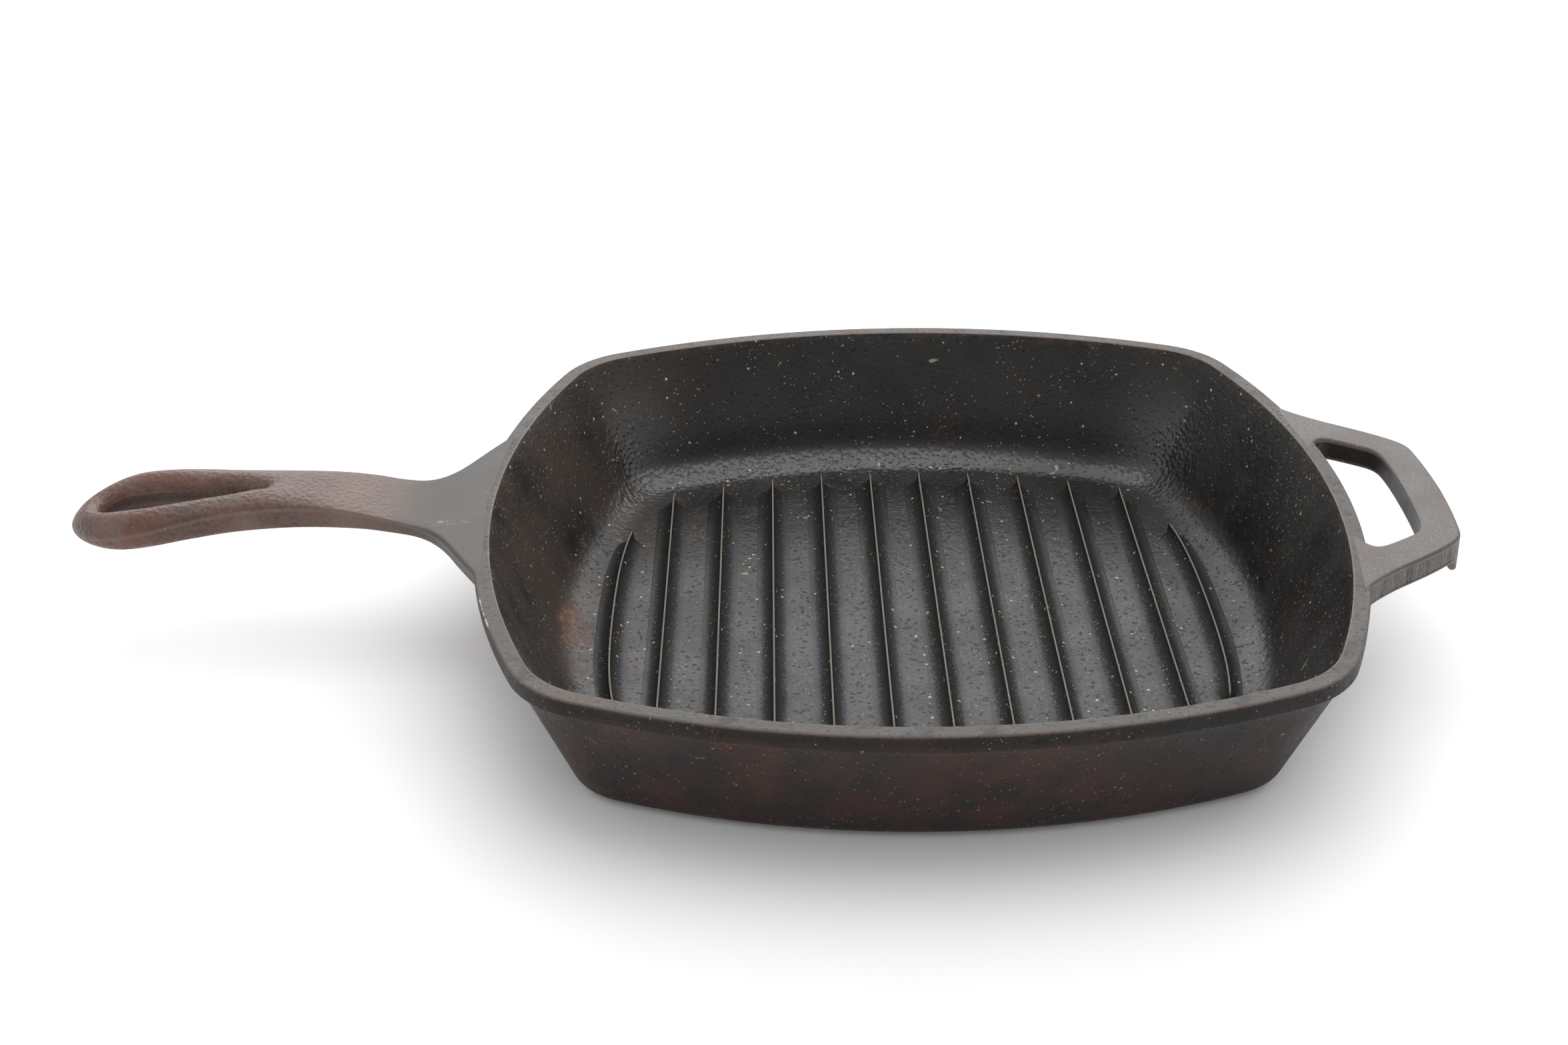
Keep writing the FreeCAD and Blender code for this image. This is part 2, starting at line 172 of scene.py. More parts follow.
def kitchen_dust():
    """Pale specks: a dot in some cells of a scatter, each of its own size, thicker in drifts. A Stretch
    under 1 draws the dots out into short fibres, and a slow warp then turns them this way and that."""
    inputs = {"Cell": 0.0022, "Density": 0.3, "Stretch": 1.0}
    tree, given, kept = new_group("kitchen_dust", inputs, {"Mask": MASK, "Tint": TINT})
    place = object_place(tree)
    warp = add(tree, "TexNoise", {"Vector": place, "Scale": 70.0, "Detail": 1.0}).outputs["Color"]
    far = times(tree, calc(tree, "SUBTRACT", 1.0, given["Stretch"]), 0.022)
    warp = add(tree, "VectorMath", {0: warp, "Scale": far}, operation="SCALE").outputs[0]
    place_on_warp = add(tree, "VectorMath", {0: place, 1: warp}, operation="ADD").outputs[0]
    draw = add(tree, "CombineXYZ", {"X": given["Stretch"], "Y": 1.0, "Z": 1.0}).outputs[0]
    drawn = add(tree, "VectorMath", {0: place_on_warp, 1: draw}, operation="MULTIPLY").outputs[0]
    per_metre = calc(tree, "DIVIDE", 1.0, given["Cell"])
    scatter = add(tree, "TexVoronoi", {"Vector": drawn, "Scale": per_metre}, feature="F1")
    chance = add(tree, "SeparateColor", {"Color": scatter.outputs["Color"]}).outputs
    drift = step(tree, noise(tree, place, 42.0, 3.0), 0.38, 0.66, 0.25, 1.6)
    here = calc(tree, "LESS_THAN", chance["Red"], times(tree, given["Density"], drift))
    reach = step(tree, chance["Green"], 0.3, 1.0, 0.06, 0.19)
    dot = step(tree, calc(tree, "DIVIDE", scatter.outputs["Distance"], reach), 0.7, 1.2, 1.0, 0.0)
    tint = blend(tree, step(tree, chance["Blue"], 0.6, 0.85), DUST_PALE, DUST_TAN)
    feed(tree, kept, {"Mask": times(tree, here, dot), "Tint": tint})


RUST_BROWN = (0.036, 0.0145, 0.009, 1)
RUST_ORANGE = (0.21, 0.08, 0.035, 1)


def rust_bloom():
    """Rust in ragged patches that spread as the mask grows, brown at their rims and orange within."""
    tree, given, kept = new_group("rust_bloom", {"Where": 0.0}, {"Mask": MASK, "Tint": TINT})
    place = object_place(tree)
    ragged = noise(tree, place, 190.0, 5.0, 0.68)
    fine = noise(tree, place, 900.0, 4.0, 0.75)
    level = plus(tree, times(tree, ragged, 0.6), times(tree, fine, 0.4))
    spread = plus(tree, level, times(tree, given["Where"], 0.2))
    mask = times(tree, step(tree, spread, 0.56, 0.74), step(tree, given["Where"], 0.02, 0.4))
    tint = blend(tree, step(tree, spread, 0.6, 0.8), RUST_BROWN, RUST_ORANGE)
    feed(tree, kept, {"Mask": mask, "Tint": tint})


def rubbed_edge():
    """Wear along an edge: the edge's own mask, broken where the noise is low."""
    tree, given, kept = new_group("rubbed_edge", {"Edge": 0.0, "Breaks": 0.5}, {"Mask": MASK})
    place = object_place(tree)
    ground = plus(tree, noise(tree, place, 160.0, 3.0), noise(tree, place, 900.0, 2.0))
    loss = times(tree, calc(tree, "SUBTRACT", 1.15, ground), given["Breaks"])
    feed(tree, kept, {"Mask": step(tree, calc(tree, "SUBTRACT", given["Edge"], loss), 0.1, 0.75)})


for make_group in (cast_skin, kitchen_dust, rust_bloom, rubbed_edge):
    make_group()


def new_iron(name, specular):
    """A material, its tree and its shader, with the reflection that is the same all over it."""
    material = bpy.data.materials.new(name)
    material.use_nodes = True
    shader = material.node_tree.nodes["Principled BSDF"]
    shader.inputs["Specular IOR Level"].default_value = specular
    return material, material.node_tree, shader


def cells(rows, columns, round_across=True, round_along=False):
    """Corner numbers of the faces of a grid of points, one face to a cell. round_across joins the last
    column to the first, and round_along the last row to the first."""
    index = np.arange(rows * columns).reshape(rows, columns)
    if round_across:
        index = np.concatenate([index, index[:, :1]], axis=1)
    if round_along:
        index = np.concatenate([index, index[:1]], axis=0)
    return np.stack([index[:-1, :-1], index[1:, :-1], index[1:, 1:], index[:-1, 1:]], axis=-1)


def make_piece(name, points, faces, masks, material):
    """A closed, smooth piece from points and faces, with its masks as numbers on the points. Points that
    coincide are merged, which closes seams and poles, and the faces are turned outward."""
    mesh = bpy.data.meshes.new(name)
    mesh.from_pydata(points.reshape(-1, 3), [], faces.reshape(-1, 4).tolist())
    for mask, values in masks.items():
        layer = mesh.attributes.new(mask, "FLOAT", "POINT")
        layer.data.foreach_set("value", np.ascontiguousarray(values, np.float32).ravel())
    work = bmesh.new()
    work.from_mesh(mesh)
    bmesh.ops.remove_doubles(work, verts=work.verts, dist=1e-7)
    bmesh.ops.recalc_face_normals(work, faces=work.faces)
    work.to_mesh(mesh)
    work.free()
    mesh.shade_smooth()
    mesh.materials.append(material)
    piece = bpy.data.objects.new(name, mesh)
    bpy.context.scene.collection.objects.link(piece)
    return piece


def softened(corners, steps=14):
    """A profile through corners (inset, height, radius), each corner replaced by an arc of its radius
    that is tangent to both sides: centre = corner + bisector * radius / sin(half the angle)."""
    points = []
    for before, here, after in zip(corners[:-2], corners[1:-1], corners[2:]):
        corner = np.array(here[:2])
        back = np.array(before[:2]) - corner
        ahead = np.array(after[:2]) - corner
        back = back / np.linalg.norm(back)
        ahead = ahead / np.linalg.norm(ahead)
        half = np.arccos(np.clip(back @ ahead, -1, 1)) / 2
        bisector = (back + ahead) / np.linalg.norm(back + ahead)
        centre = corner + bisector * here[2] / np.sin(half)
        start = corner + back * here[2] / np.tan(half) - centre
        end = corner + ahead * here[2] / np.tan(half) - centre
        along = np.linspace(0, 1, steps + 1)[:, None]
        arc = start * (1 - along) + end * along
        arc = arc / np.linalg.norm(arc, axis=1)[:, None] * here[2]
        points.append(centre + arc)
    return points


def divided(start, end, count):
    """Points between two ends of a straight run, without the ends."""
    along = np.linspace(0, 1, count + 2)[1:-1, None]
    return start * (1 - along) + end * along


def square_plan(inset, per_side=64, per_corner=36):
    """Points of the rim outline moved in by an inset: slack arcs of SIDE_RADIUS on the four sides,
    joined by corner arcs that tighten as the inset grows. Rows of insets give rows of points."""
    inset = np.asarray(inset)[:, None]
    side = SIDE_RADIUS - inset
    corner = CORNER_RADIUS - CORNER_TIGHTENING * inset
    back = SIDE_RADIUS - RIM_HALF
    offset = (np.sqrt(2 * (side - corner) ** 2 - back**2) - back) / 2
    turn = np.arctan2(offset, offset + back)
    along_side = np.arange(per_side) / per_side
    along_corner = np.arange(per_corner) / per_corner
    across, up = [], []
    for heading in np.arange(4) * np.pi / 2:
        angle = heading + turn * (2 * along_side - 1)
        across.append(side * np.cos(angle) - back * np.cos(heading))
        up.append(side * np.sin(angle) - back * np.sin(heading))
        angle = heading + turn + (np.pi / 2 - 2 * turn) * along_corner
        diagonal = heading + np.pi / 4
        across.append(corner * np.cos(angle) + offset * np.sqrt(2) * np.cos(diagonal))
        up.append(corner * np.sin(angle) + offset * np.sqrt(2) * np.sin(diagonal))
    return np.concatenate(across, axis=1), np.concatenate(up, axis=1)


cove_z = RIM_TOP - BAND_HEIGHT - COVE[1]
wall_foot = COVE[0] + (cove_z - FOOT_TOP) * OUTER_LEAN
floor_corner = RIM_WALL + (RIM_TOP - FLOOR_TOP) * INNER_LEAN
under_inset = wall_foot + 4.5 * mm
corners = [
    (43.5 * mm, FLOOR_TOP, 0),
    (floor_corner, FLOOR_TOP, 14 * mm),
    (RIM_WALL, RIM_TOP, 0.6 * mm),
    (0.0, RIM_TOP, 0.8 * mm),
    (0.0, RIM_TOP - BAND_HEIGHT, 0.7 * mm),
    (COVE[0], cove_z, 2.4 * mm),
    (wall_foot, FOOT_TOP, 6 * mm),
    (under_inset, FOOT_TOP, 0.3 * mm),
    (under_inset + 0.4 * mm, 0.0, 0.5 * mm),
    (under_inset + 9 * mm, 0.0, 0),
]
arcs = softened(corners)
points_between = (14, 5, 3, 1, 14, 2, 1)
profile_parts = [arcs[0]]
for before, after, count in zip(arcs[:-1], arcs[1:], points_between):
    profile_parts += [divided(before[-1], after[0], count), after]
profile = np.concatenate(profile_parts)
across, up = square_plan(profile[:, 0])
ring = np.stack([across, up, np.broadcast_to(profile[:, 1][:, None], across.shape)], axis=-1)
shrink = np.linspace(0, 1, 15)[:-1, None, None] ** 0.8
level = np.array([1, 1, 0])
inner_disc = ring[:1] * (shrink * level + [0, 0, 1])
outer_disc = ring[-1:] * (shrink[::-1] * level + [0, 0, 1])
pan_grid = np.concatenate([inner_disc, ring, outer_disc])
discs = len(inner_disc)


def spots(points, *places):
    """Soft spots on a surface: the sum of strength * exp(-(distance / radius)^2) over the places, each
    (x, y, depth under the rim, radius, strength) in millimetres."""
    total = np.zeros(points.shape[:-1])
    for x, y, depth, radius, strength in places:
        centre = np.array([x * mm, y * mm, RIM_TOP - depth * mm])
        total += strength * np.exp(-((points - centre) ** 2).sum(-1) / (radius * mm) ** 2)
    return total


def along_profile(centre, reach):
    """A mask that is 1 at one row of the pan's profile and fades within a reach of rows."""
    fade = np.exp(-(((np.arange(len(pan_grid)) - discs - centre) / reach) ** 2))
    return np.broadcast_to(fade[:, None], pan_grid.shape[:2])


def at_arc(order, share=0.5):
    """The row of the profile at a share of one of its rounded corners."""
    rows_before = sum(len(part) for part in profile_parts[:2 * order])
    return rows_before + share * (len(profile_parts[2 * order]) - 1)


oil_spots = [
    (-98, 86, 38, 13, 0.7), (97, 88, 34, 15, 0.6), (-92, 98, 22, 14, 0.45), (94, 96, 22, 14, 0.3)]
rust_inside = [
    (-106, -2, 38, 7, 1.1), (-105, -14, 39, 8, 0.9), (-103, -30, 39, 8, 0.6), (-102, -46, 39, 8, 0.5),
    (-108, 24, 36, 7, 0.5), (-108, 38, 36, 7, 0.5), (-101, 78, 35, 5, 0.9), (-100, 86, 34, 4, 0.7),
    (-72, 107, 36, 6, 0.7), (-50, 111, 34, 6, 0.3), (8, 118, 24, 16, 0.2), (22, 112, 33, 11, 0.45),
    (102, 60, 37, 8, 0.5), (106, 30, 38, 7, 0.3), (112, 62, 16, 12, 0.2)]
rust_outside = [
    (-60, -127, 8, 14, 0.6), (-20, -130, 5, 9, 0.55), (40, -130, 5, 8, 0.45), (10, -126, 12, 16, 0.35),
    (-100, -106, 2, 6, 0.45), (80, -126, 4, 8, 0.3), (-70, 126, 8, 16, 0.5), (60, 126, 20, 20, 0.5)]
honey_spots = [
    (-109, -103, 0, 5, 0.9), (-99, -112, 0, 5, 0.9), (-90, -118, 1, 4, 0.6), (-118, -90, 1, 4, 0.5)]
chip_spots = [
    (-123, -72, 2, 7, 1.0), (-126, -60, 2, 6, 0.8), (-117, -84, 2, 6, 0.6), (-50, -131, 1, 5, 0.5)]

rows = np.arange(len(pan_grid)) - discs
depth = (RIM_TOP - pan_grid[..., 2]) / mm
across, up = pan_grid[..., 0] / mm, pan_grid[..., 1] / mm
cavity = np.broadcast_to((rows < at_arc(1))[:, None], across.shape).astype(float)
outer_skin = np.broadcast_to((rows > at_arc(2))[:, None], across.shape).astype(float)
back_side = np.clip((up - 60) / 35, 0, 1)
left_side = np.clip((-across - 60) / 45, 0, 1)
fillet = np.exp(-(((depth - 39.6) / 2.6) ** 2)) * cavity
sheen = 0.08 + 0.92 * back_side * np.clip(1.15 - across / 70, 0.35, 1)
# The brown inside is partly real patina and partly painted light: it is strongest on the left wall, which is
# painted lighter as if lit from the right.
patina_and_lit_left_wall = 0.15 + 0.75 * left_side * (1 - 0.4 * back_side)
brown_outside = np.clip(1.0 - (across + 60) / 210, 0.15, 1)
pan_masks = {
    "inside": cavity,
    "outside": outer_skin,
    "inner_edge": along_profile(at_arc(1, 0.45), 5.5),
    "outer_edge": along_profile(at_arc(2), 5.0),
    "cove": along_profile(at_arc(4), 8.0),
    # Painted shade: a dark line on the band just under the rim's outer top edge.
    "undercut_shade": along_profile(at_arc(2, 1.0) + 1.5, 2.2),
    "oil": fillet * sheen + spots(pan_grid, *oil_spots),
    # A band low on the back wall, above the floor fillet, that is darkened and made rougher.
    "low_back_band": np.exp(-(((depth - 31.5) / 5.0) ** 2)) * cavity * np.clip((up - 75) / 25, 0, 1),
    "rust": spots(pan_grid, *rust_inside) * cavity + spots(pan_grid, *rust_outside) * outer_skin,
    "brown": cavity * patina_and_lit_left_wall + outer_skin * brown_outside,
    "honey": along_profile(at_arc(1, 0.8), 10) * spots(pan_grid, *honey_spots),
    "chips": spots(pan_grid, *chip_spots),
}

SEASONED = (0.0048, 0.0049, 0.0051, 1)
SEASONED_GREY = (0.0138, 0.0138, 0.0133, 1)
LOW_BACK_BAND_BLACK = (0.004, 0.004, 0.0042, 1)
PATINA_AND_LIT_WALL_BROWN = (0.047, 0.0345, 0.027, 1)
OUTER_BLACK = (0.008, 0.007, 0.0066, 1)
OUTER_GREY = (0.0105, 0.0098, 0.0092, 1)
OUTER_RED = (0.052, 0.0165, 0.0115, 1)
COVE_PALE = (0.05, 0.043, 0.038, 1)
UNDERCUT_SHADE = (0.003, 0.002, 0.0018, 1)
RIM_GREY = (0.074, 0.069, 0.064, 1)
RIM_PALE = (0.096, 0.085, 0.077, 1)
RIM_BLACKENED = (0.022, 0.021, 0.021, 1)
BARE_EDGE = (0.21, 0.155, 0.125, 1)
HONEY = (0.17, 0.1, 0.05, 1)
CHIP_CREAM = (0.55, 0.5, 0.42, 1)
PAN_GRAIN = 0.0008
PAN_SPECULAR = 0.3
CRUMBS = {"Cell": 0.0027, "Density": 0.45}
GRIT = {"Cell": 0.0013, "Density": 1.0}

pan_iron, tree, shader = new_iron("pan_iron", PAN_SPECULAR)
skin = use_group(tree, "cast_skin", Grain=PAN_GRAIN)
rust = use_group(tree, "rust_bloom", Where=point_mask(tree, "rust"))
dust = use_group(tree, "kitchen_dust", **CRUMBS)
specks = use_group(tree, "kitchen_dust", **GRIT)
fibres = use_group(tree, "kitchen_dust", Cell=0.0036, Density=0.13, Stretch=0.16)
bare = use_group(tree, "rubbed_edge", Edge=point_mask(tree, "inner_edge"), Breaks=0.35)["Mask"]
nicked = use_group(tree, "rubbed_edge", Edge=point_mask(tree, "outer_edge"), Breaks=0.9)["Mask"]
place = object_place(tree)
inside = point_mask(tree, "inside")
outside = point_mask(tree, "outside")
low_back_band = point_mask(tree, "low_back_band")
oil = point_mask(tree, "oil")
rim = calc(tree, "SUBTRACT", calc(tree, "SUBTRACT", 1.0, inside), outside, clamp=True)
cloudy = noise(tree, place, 24.0, 5.0, 0.6)
patina_and_lit_wall = times(tree, point_mask(tree, "brown"), step(tree, cloudy, 0.3, 0.62))
seasoned = blend(tree, skin["Mottle"], SEASONED, SEASONED_GREY)
# Partly real patina, partly painted light: the left wall is lightened most.
seasoned = blend(tree, patina_and_lit_wall, seasoned, PATINA_AND_LIT_WALL_BROWN)
# The band low on the back wall is darkened almost to black.
seasoned = coat(tree, seasoned, LOW_BACK_BAND_BLACK, low_back_band, 0.85)
patches = times(tree, patina_and_lit_wall, step(tree, noise(tree, place, 60.0, 4.0), 0.3, 0.62))
outer = blend(tree, skin["Mottle"], OUTER_BLACK, OUTER_GREY)
outer = blend(tree, patches, outer, OUTER_RED)
outer = coat(tree, outer, COVE_PALE, point_mask(tree, "cove"), 0.45)
# Painted shade: the band is darkened just under the rim's outer top edge.
outer = coat(tree, outer, UNDERCUT_SHADE, point_mask(tree, "undercut_shade"), 0.9)
top = blend(tree, skin["Mottle"], RIM_GREY, RIM_PALE)
blackened = step(tree, noise(tree, place, 85.0, 5.0, 0.65), 0.5, 0.66)
top = coat(tree, top, RIM_BLACKENED, blackened, 0.55)
colour = blend(tree, outside, blend(tree, rim, seasoned, top), outer)
colour = coat(tree, colour, rust["Tint"], rust["Mask"], 0.72)
colour = coat(tree, colour, BARE_EDGE, bare, 0.8)
colour = coat(tree, colour, BARE_EDGE, nicked, 0.3)
flecked = step(tree, noise(tree, place, 260.0, 5.0), 0.42, 0.6)
gilded = times(tree, point_mask(tree, "honey"), flecked)
colour = coat(tree, colour, HONEY, gilded, 0.7)
broken = times(tree, point_mask(tree, "chips"), point_mask(tree, "outer_edge"))
broken = step(tree, times(tree, broken, noise(tree, place, 420.0, 3.0)), 0.3, 0.42)
colour = coat(tree, colour, CHIP_CREAM, broken, 0.9)
colour = coat(tree, colour, dust["Tint"], dust["Mask"], step(tree, inside, 0, 1, 0.3, 0.95))
colour = coat(tree, colour, specks["Tint"], specks["Mask"], step(tree, inside, 0, 1, 0.42, 0.78))
colour = coat(tree, colour, fibres["Tint"], fibres["Mask"], times(tree, inside, 0.6))
pits = step(tree, noise(tree, place, 640.0, 2.0), 0.3, 0.4)
gloss = step(tree, skin["Mottle"], 0.0, 1.0, 0.33, 0.43)
gloss = plus(tree, gloss, times(tree, outside, 0.16))
gloss = plus(tree, gloss, times(tree, rim, 0.14))
gloss = plus(tree, gloss, times(tree, low_back_band, 0.18))
gloss = calc(tree, "SUBTRACT", gloss, times(tree, oil, 0.2))
gloss = plus(tree, gloss, times(tree, rust["Mask"], 0.25))
gloss = plus(tree, gloss, times(tree, calc(tree, "SUBTRACT", 1.0, pits), 0.15))
relief = times(tree, skin["Fine"], step(tree, inside, 0, 1, 0.055, 0.035))
relief = plus(tree, relief, times(tree, skin["Peel"], step(tree, oil, 0, 1, 0.05, 0.26)))
relief = plus(tree, relief, times(tree, skin["Waves"], step(tree, oil, 0, 1, 0.22, 0.4)))
relief = plus(tree, relief, times(tree, pits, 0.14))
bump = add(tree, "Bump", {"Height": relief, "Distance": 1 * mm})
film = calc(tree, "MULTIPLY", oil, 1.6, clamp=True)
feed(tree, shader, {
    "Base Color": colour, "Roughness": gloss, "Coat Weight": film, "Coat Roughness": 0.24,
    "Normal": bump.outputs[0], "Coat Normal": bump.outputs[0]})

pan_shell = make_piece("pan_shell", pan_grid, cells(*pan_grid.shape[:2]), pan_masks, pan_iron)
walls = [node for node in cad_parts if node.startswith("wall_")]
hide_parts("base_foot", "pan_floor", "rim_band", *walls)
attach(pan_shell, "root")

# ---- Grill ribs ----
# Cast with the floor: a narrow crest worn flat, hollow flanks as deep as the rib is high, and a pointed
# prow at each end. The outermost two are shorter and bowed like the wall beside them.

RIB_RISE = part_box("grill_rib_06")[1].z - FLOOR_TOP
CREST = 0.32 * mm
FLANK_RUN = 5.6 * mm
PROW = 8 * mm
RIB_SINK = 0.25 * mm


def rib(name, path, heading):
    """A rib along a path: its section is two hollow quarter ellipses under a narrow crest. Over the prow
    at each end the flanks draw in to the crest as a quarter sine, and the tip rounds down to the floor."""
    gone = np.linalg.norm(np.diff(path, axis=0), axis=1)
    walked = np.concatenate([[0], np.cumsum(gone)])
    from_end = np.minimum(walked, walked[-1] - walked)
    spread = np.sin(np.clip(from_end / PROW, 0, 1) * np.pi / 2)[:, None]
    drop = np.sqrt(np.clip(1 - (1 - np.clip(from_end / (1.1 * mm), 0, 1)) ** 2, 0, 1))[:, None]
    turn = np.radians(np.linspace(0, 82, 13))
    flank = CREST + FLANK_RUN * (1 - np.sin(turn))
    height = RIB_RISE * (1 - np.cos(turn))
    crown = np.radians(np.array([60, 30, 0]))
    flank = np.concatenate([flank, CREST * np.sin(crown) * 0.9])
    height = np.concatenate([height, RIB_RISE * (1 - 0.035 * (1 - np.cos(crown)))])
    offset = np.concatenate([-flank, flank[::-1][1:], [0]])
    rise = np.concatenate([height, height[::-1][1:], [0]])
    core = np.minimum(np.abs(offset), CREST) * np.sign(offset)
    reach = core * np.clip(spread * 1.6, 0.25, 1) + (offset - core) * spread
    side = np.stack([-heading[:, 1], heading[:, 0]], axis=-1)
    plan = path[:, None, :] + side[:, None, :] * reach[..., None]
    lift = FLOOR_TOP - RIB_SINK + (rise + RIB_SINK * (rise > 0)) * drop
    grid = np.concatenate([plan, lift[..., None]], axis=-1)
    crest = np.broadcast_to((rise / RIB_RISE)[None, :], grid.shape[:2])
    return make_piece(name, grid, cells(*grid.shape[:2]), {"crest": crest}, rib_iron)


RIB_FLANK_SHADE = (0.0042, 0.0041, 0.004, 1)
RIB_WORN = (0.2, 0.165, 0.135, 1)
rib_iron, tree, shader = new_iron("rib_iron", PAN_SPECULAR)
skin = use_group(tree, "cast_skin", Grain=PAN_GRAIN)
dust = use_group(tree, "kitchen_dust", **CRUMBS)
specks = use_group(tree, "kitchen_dust", **GRIT)
crest = point_mask(tree, "crest")
worn = use_group(tree, "rubbed_edge", Edge=step(tree, crest, 0.95, 1.0), Breaks=0.3)["Mask"]
colour = blend(tree, skin["Mottle"], SEASONED, SEASONED_GREY)
# Painted shade: the hollow flanks are darkened towards the crest, with a ragged edge, for the shade beside
# each rib; the same mask also makes them rougher.
ragged = times(tree, crest, step(tree, skin["Fine"], 0.3, 0.7, 0.3, 1.9))
colour = blend(tree, step(tree, ragged, 0.0, 0.3), colour, RIB_FLANK_SHADE)
colour = coat(tree, colour, RIB_WORN, worn, 0.9)
colour = coat(tree, colour, dust["Tint"], dust["Mask"], 0.9)
colour = coat(tree, colour, specks["Tint"], specks["Mask"], 0.75)
gloss = step(tree, skin["Mottle"], 0.0, 1.0, 0.33, 0.43)
gloss = plus(tree, gloss, step(tree, ragged, 0.0, 0.25, 0.0, 0.35))
relief = plus(tree, times(tree, skin["Fine"], 0.06), times(tree, skin["Waves"], 0.2))
bump = add(tree, "Bump", {"Height": relief, "Distance": 1 * mm})
feed(tree, shader, {"Base Color": colour, "Roughness": gloss, "Normal": bump.outputs[0]})

for number in range(1, 13):
    node = f"grill_rib_{number:02d}"
    low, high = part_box(node)
    half_run = (high.y - low.y) / 2
    if number in (1, 12):
        way = np.linspace(-1, 1, 121)
        outward = 1 if number == 12 else -1
        reach_y = (half_run + 3.75 * mm) * way - 2.25 * mm
        bow = 93.4 * mm - 1.6 * mm * way**2 - 1.9 * mm * way**4
        path = np.stack([outward * bow, reach_y], axis=-1)
    else:
        way = np.linspace(-1, 1, 161)
        way = np.sign(way) * (1 - (1 - np.abs(way)) ** 1.6)
        middle = (low.x + high.x) / 2
        path = np.stack([np.full_like(way, middle), half_run * way], axis=-1)
    heading = np.gradient(path, axis=0)
    heading = heading / np.linalg.norm(heading, axis=1)[:, None]
    piece = rib(node + "_worn", path, heading)
    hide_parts(node)
    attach(piece, "root")

# ---- Long handle ----
# Cast with the pan: a fan-shaped web, an arched grip with a domed top over a drafted lower band, and a
# teardrop hanging hole with soft lips. The parting line of the mould runs round it.

HANDLE_END = -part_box("handle_grip")[0].x
HOLE_KNOT = 9
STRIP_ROWS = 34
FLASH = 0.3 * mm


def through(at, knots, values):
    """A smooth curve through knots: cubic Hermite pieces with slopes from the neighbouring knots."""
    slope = np.gradient(values, knots)
    place = np.clip(np.searchsorted(knots, at) - 1, 0, len(knots) - 2)
    width = knots[place + 1] - knots[place]
    part = np.clip((at - knots[place]) / width, 0, 1)
    start = (2 * part**3 - 3 * part**2 + 1) * values[place]
    start = start + (part**3 - 2 * part**2 + part) * width * slope[place]
    end = (3 * part**2 - 2 * part**3) * values[place + 1]
    end = end + (part**3 - part**2) * width * slope[place + 1]
    return start + end


def edge_curve(knots, stations, per_knot):
    """A smooth plan curve through (reach, half-width) knots, at stations counted in knots."""
    numbers = np.arange(len(knots)) * per_knot
    return np.stack([through(stations, numbers, values) for values in knots.T], axis=-1)


def distance_to(points, line):
    """The least distance from each point to a polyline."""
    start, run = line[:-1], np.diff(line, axis=0)
    offset = points[..., None, :] - start
    share = np.clip((offset * run).sum(-1) / np.maximum((run**2).sum(-1), 1e-18), 0, 1)
    return np.linalg.norm(offset - share[..., None] * run, axis=-1).min(-1)


def strip(outer, inner):
    """Rows of points from an outer edge to an inner one, closer together near both edges."""
    share = (1 - np.cos(np.linspace(0, np.pi, STRIP_ROWS))) / 2
    return outer[None] + (inner - outer)[None] * share[:, None, None]


def two_halves(name, rows, masks, skip, material):
    """A closed piece from one half's loop of rows and its mirror image across the plane y = 0. The far
    end is pinched shut, and the cells to skip are left out, where the halves meet."""
    pinch = rows[:, -1:] * [1, 1, 0] + [0, 0, RIM_TOP - 2.2 * mm]
    rows = np.concatenate([rows, pinch], axis=1)
    skip = np.concatenate([skip, skip[:, -1:]], axis=1)
    half = cells(*rows.shape[:2], round_across=False, round_along=True)[~skip]
    points = np.concatenate([rows.reshape(-1, 3), (rows * [1, -1, 1]).reshape(-1, 3)])
    both = {}
    for mask, values in masks.items():
        values = np.concatenate([values, values[:, -1:]], axis=1).ravel()
        both[mask] = np.concatenate([values, values])
    faces = np.concatenate([half, half + rows.shape[0] * rows.shape[1]])
    return make_piece(name, points, faces, both, material)


outer_knots = mm * np.array([
    (HANDLE_END / mm - 1, 0), (258.2, 4.5), (255.4, 9.2), (250.9, 13.6), (245, 17), (238, 18.7),
    (229.2, 18.3), (218, 16.0), (208, 13.7), (198, 12.6), (186, 12.4), (174, 12.9), (164, 13.5), (157, 14.1),
    (151.5, 15.4), (147, 17.8), (143.2, 21.6), (139.8, 26.6), (136.6, 32.4), (132.8, 39.2), (126.8, 49.6)])
inner_knots = mm * np.array([
    (249.6, 0), (249.1, 2.9), (247.3, 5.4), (244.4, 7.1), (240.4, 7.8), (234, 7.6), (226, 6.6),
    (217, 5.0), (208, 3.0), (199, 0), (187, 0), (175, 0), (165, 0), (157, 0), (151.5, 0),
    (147, 0), (143.4, 0), (140.4, 0), (137.4, 0), (134.4, 0), (130.6, 0)])
stations = np.arange(0, 10 * (len(outer_knots) - 1) + 1)
outer = edge_curve(outer_knots, stations, 10)
inner = edge_curve(inner_knots, stations, 10)
solid = stations >= 10 * HOLE_KNOT
inner[:, 1] = np.where(solid, 0, np.maximum(inner[:, 1], 0))
outer[0, 1] = 0
inner[0, 1] = 0
hole_edge = inner[stations <= 10 * HOLE_KNOT]
reach_knots = mm * np.array([
    126, 137, 143, 150, 158, 166, 174, 182, 190, 198, 208, 220, 232, 243, 251, 257, 261])
top_knots = mm * np.array([
    0.02, 0.02, 0.02, 0.2, 1.6, 3.6, 5.2, 6.5, 7.3, 7.8, 7.6, 6.8, 5.7, 4.4, 2.4, 0, -2.4])
parting_knots = mm * np.array([
    -1.4, -1.4, -1.3, -0.6, 1.0, 2.9, 4.2, 4.8, 4.9, 4.5, 3.9, 2.6, 0.3, -2.0, -3.6, -4.4, -4.8])
